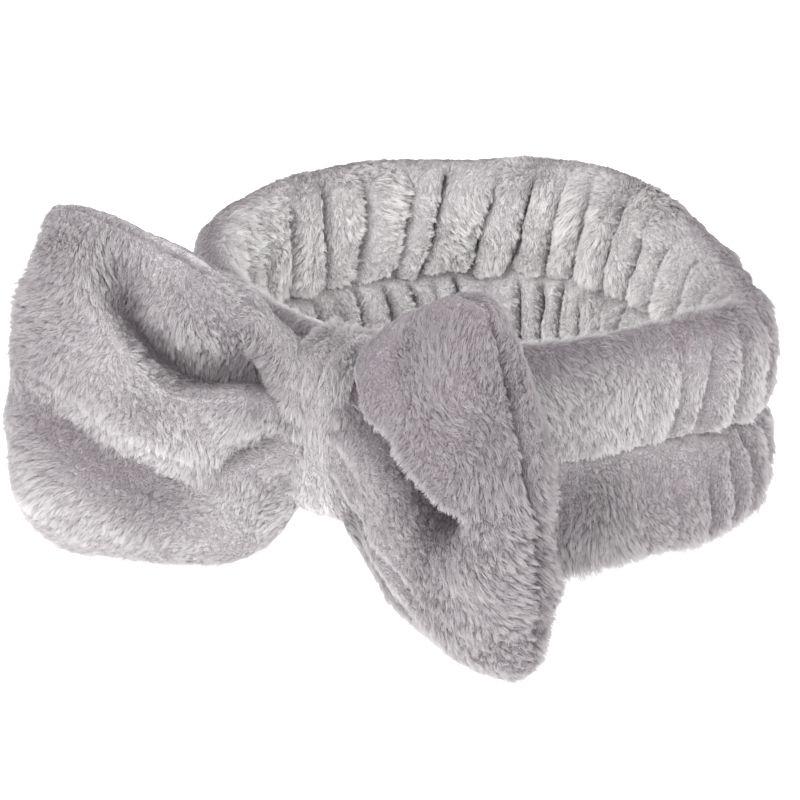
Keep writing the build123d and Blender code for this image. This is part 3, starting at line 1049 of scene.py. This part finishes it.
def bent_strands(g, points):
    """A tapered strand on each point, bent over along its lean and drawn in to the middle of its tuft."""
    line = g.geometry("CurvePrimitiveLine")
    strand = g.geometry("ResampleCurve", {"Curve": line, "Count": STRAND_POINTS})
    placed = g.geometry("InstanceOnPoints", {"Points": points, "Instance": strand})
    strands = g.geometry("RealizeInstances", {"Geometry": placed})
    along = g.add("GeometryNodeSplineParameter").outputs["Factor"]
    squared = g.times(along, along)
    length = g.times(g.named("tall"), PILE_LENGTH)
    rise = g.times(length, g.math("SUBTRACT", along, g.times(squared, 0.52)))
    bent = g.times(length, g.times(g.plus(along, squared), 0.42))
    spot = g.named("root", "FLOAT_VECTOR")
    for name, amount in (("up", rise), ("lean", bent), ("to_tuft", g.times(squared, 0.55))):
        spot = g.total(spot, g.scaled(g.named(name, "FLOAT_VECTOR"), amount))
    strands = g.geometry("SetPosition", {"Geometry": strands, "Position": spot})
    taper = g.times(STRAND_RADIUS, g.math("SUBTRACT", 1.0, g.times(along, 0.7)))
    return g.geometry("SetCurveRadius", {"Curve": strands, "Radius": taper})


def pile_nodes(material):
    """Geometry nodes that grow the strands of pile on the fleece of their Fleece input."""
    tree = bpy.data.node_groups.new("plush_pile", "GeometryNodeTree")
    for name, way, kind in (("Geometry", "INPUT", "Geometry"), ("Fleece", "INPUT", "Object"),
                            ("Geometry", "OUTPUT", "Geometry")):
        tree.interface.new_socket(name, in_out=way, socket_type=f"NodeSocket{kind}")
    g = Graph(tree)
    fleece = g.add("NodeGroupInput").outputs[1]
    info = g.add("GeometryNodeObjectInfo", {"Object": fleece}, transform_space="RELATIVE")
    strands = bent_strands(g, strand_roots(g, info.outputs["Geometry"]))
    dressed = g.geometry("SetMaterial", {"Geometry": strands, "Material": material})
    g.add("NodeGroupOutput", {0: dressed})
    return tree


def grow_pile(fleece, nodes):
    """The strands of pile on one piece of fleece, which follow it as it moves."""
    name = f"{fleece.name}_pile"
    pile = bpy.data.objects.new(name, bpy.data.hair_curves.new(name))
    bpy.context.scene.collection.objects.link(pile)
    modifier = pile.modifiers.new("pile", "NODES")
    modifier.node_group = nodes
    modifier[nodes.interface.items_tree["Fleece"].identifier] = fleece


# Assembly


def dress(obj, slot, grown=False):
    """Gives a piece the material of one name, and grows pile on it when asked."""
    obj.data.materials.clear()
    obj.data.materials.append(MATERIALS[slot])
    if grown:
        grow_pile(obj, PILE)


def add_to_band(obj, slot, node, grown=False):
    """Dresses a piece of the band, which stands for a CAD node, and hides that node."""
    dress(obj, slot, grown)
    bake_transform(obj)
    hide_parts(node)


def build_band():
    """The two pieces of the fleece tube with everything sewn on them and inside them."""
    for part, start, stop in (("front", 180 - SPLIT, 360 + SPLIT), ("rear", SPLIT, 180 - SPLIT)):
        fleece = band_fleece(f"{part}_cover_fleece", start, stop)
        add_to_band(fleece, "fleece", f"{part}_cover", grown=True)
        for seam in ("centre", "closing"):
            thread = seam_stitches(f"{part}_{seam}_stitches", start, stop, seam == "closing")
            add_to_band(thread, "thread", f"{part}_{seam}_seam")
    for tier, level in enumerate(("lower", "upper")):
        add_to_band(wadding(f"{level}_front_wadding", tier), "wadding", f"front_wadding_{level}")
        add_to_band(elastic(f"{level}_rear_elastic", tier), "elastic", f"elastic_{level}")
    for side, angle in (("right", SPLIT + 3), ("left", 177 - SPLIT)):
        add_to_band(elastic_tacks(f"{side}_elastic_stitches", angle), "thread", f"elastic_tacks_{side}")


def build_bow():
    """The wings, and the waist and wrap that hold them."""
    for wing in (LeftWing(), RightWing()):
        body = f"{wing.name}_wing"
        fleece, front = wing_fleece(wing)
        stitches = wing_stitches(wing, front)
        dress(fleece, "fleece", grown=True)
        dress(stitches, "thread")
        for piece, nodes in ((fleece, (f"{body}_front", f"{body}_back")), (stitches, (f"{body}_seam",))):
            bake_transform(piece)
            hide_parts(*nodes)
    for piece, slot, node in (
        (knot_wrap(), "fleece", "knot_wrap"),
        (bow_waist(), "fleece", "bow_waist"),
        (waist_thread(), "thread", "waist_thread"),
        (knot_stitches(), "thread", "knot_closing_stitches"),
    ):
        dress(piece, slot, grown=node == "knot_wrap")
        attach(piece, "band_front")
        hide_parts(node)


# The stage: floor, light and camera

AZIMUTH, ELEVATION = 28.0, 23.5
DISTANCE = 1.03
LENS = 143.7
AIM = (-0.0239, -0.010)  # where the camera looks, to the right and up from the band's middle


def build_stage():
    """A pale floor that fades into a pale surround, lit softly from all round."""
    bpy.ops.mesh.primitive_circle_add(vertices=96, radius=6, fill_type="NGON", location=(0, 0, -0.0005))
    floor = bpy.context.object
    floor.name = "floor"
    material, g = new_material("pale_floor")
    g.surface(g.add("ShaderNodeBsdfPrincipled", {
        "Base Color": (0.9, 0.9, 0.9, 1), "Roughness": 0.9, "Specular IOR Level": 0.1,
        "Emission Color": (1, 1, 1, 1), "Emission Strength": 0.6}).outputs[0])
    floor.data.materials.append(material)
    world = bpy.data.worlds.new("surround")
    bpy.context.scene.world = world
    world.use_nodes = True
    world.node_tree.nodes.clear()
    g = Graph(world.node_tree)
    height = g.upward(g.add("ShaderNodeTexCoord").outputs["Generated"])
    sky = g.ramp(height, [(0.0, (1.0, 1.0, 1.0)), (0.9, (0.85, 0.84, 0.85))])
    light = g.add("ShaderNodeBackground", {"Color": sky, "Strength": 1.25})
    g.add("ShaderNodeOutputWorld", {0: light.outputs[0]})
    for name, place, size, power in (
        ("key", (-0.15, -1.55, 0.95), 1.0, 17.0),
        ("fill", (0.8, -1.3, 0.95), 1.2, 12.0),
        ("left", (-1.4, -0.1, 0.7), 1.0, 2.0),
        ("right", (1.4, -0.1, 0.7), 1.0, 2.0),
    ):
        data = bpy.data.lights.new(name, "AREA")
        data.size, data.energy = size, power
        lamp = bpy.data.objects.new(name, data)
        bpy.context.scene.collection.objects.link(lamp)
        lamp.location = place
        lamp.rotation_euler = (Vector((0, 0, 0.04)) - lamp.location).to_track_quat("-Z", "Y").to_euler()


def build_camera():
    """The camera, in front of the bow, to its right and above."""
    a, e = math.radians(AZIMUTH), math.radians(ELEVATION)
    middle = Vector((0, 0, TIER * MM))
    right = Vector((math.cos(a), math.sin(a), 0))
    away = Vector((-math.sin(a), math.cos(a), 0))
    view = away * math.cos(e) - Vector((0, 0, math.sin(e)))
    up = away * math.sin(e) + Vector((0, 0, math.cos(e)))
    data = bpy.data.cameras.new("camera")
    data.lens, data.sensor_width, data.clip_start = LENS, 36, 0.05
    camera = bpy.data.objects.new("camera", data)
    bpy.context.scene.collection.objects.link(camera)
    camera.location = middle - view * DISTANCE
    aim = middle + right * AIM[0] + up * AIM[1]
    camera.rotation_euler = (aim - camera.location).to_track_quat("-Z", "Y").to_euler()
    bpy.context.scene.camera = camera


MATERIALS = {
    "fleece": fleece_cloth(),
    "thread": sewing_thread(),
    "elastic": woven_elastic(),
    "wadding": loose_wadding(),
}
PILE = pile_nodes(pile_fibre())
build_band()
build_bow()
build_stage()
build_camera()
bpy.context.scene.view_settings.view_transform = "Standard"
